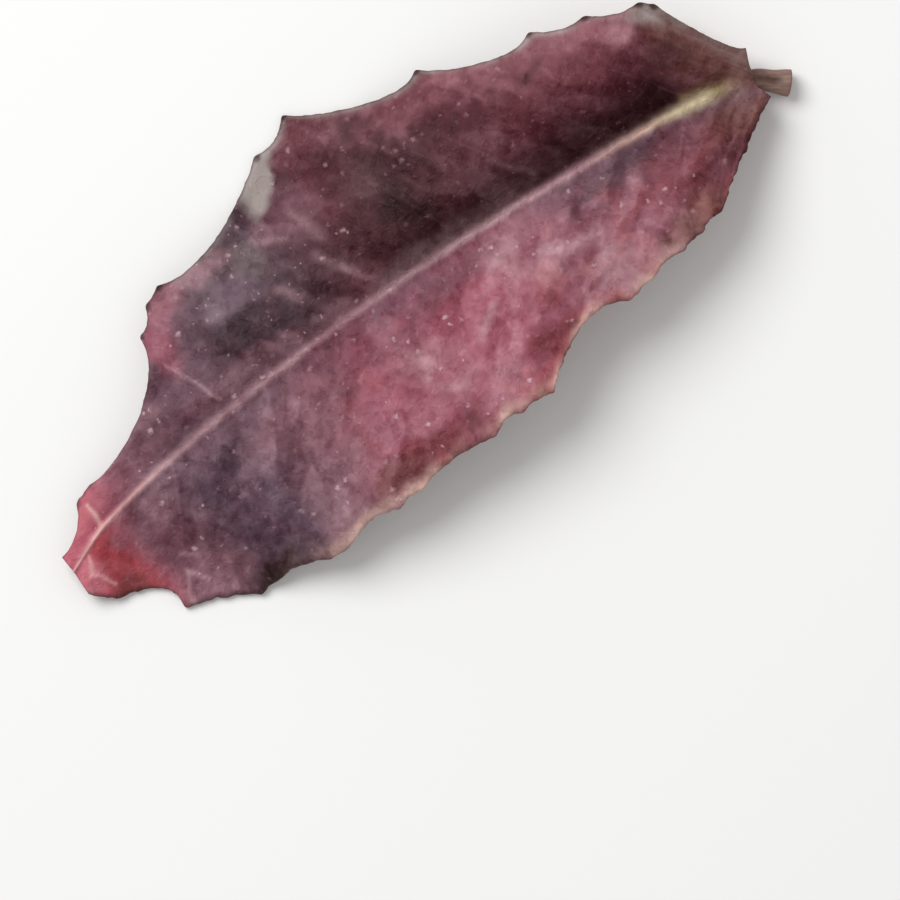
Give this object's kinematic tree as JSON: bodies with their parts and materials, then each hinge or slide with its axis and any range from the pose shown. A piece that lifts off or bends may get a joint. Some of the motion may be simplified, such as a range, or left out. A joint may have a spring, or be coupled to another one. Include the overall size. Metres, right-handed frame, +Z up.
{
  "type": "leathery toothed leaf",
  "caption": "Single picked evergreen leaf with a coarsely toothed margin, raised midrib, side veins and a short stalk, lying face up.",
  "frame": {"origin": "middle of the leaf's bounding box, on the surface that it lies on", "axes": "+X from the stalk to the tip along the midrib, +Y towards the leaf's left half, +Z up out of the upper face"},
  "size_m": [0.062, 0.0278, 0.0076],
  "materials": {
    "leaf": "satin"
  },
  "bodies": {
    "root": {"leaf": "leaf"}
  },
  "joints": []
}
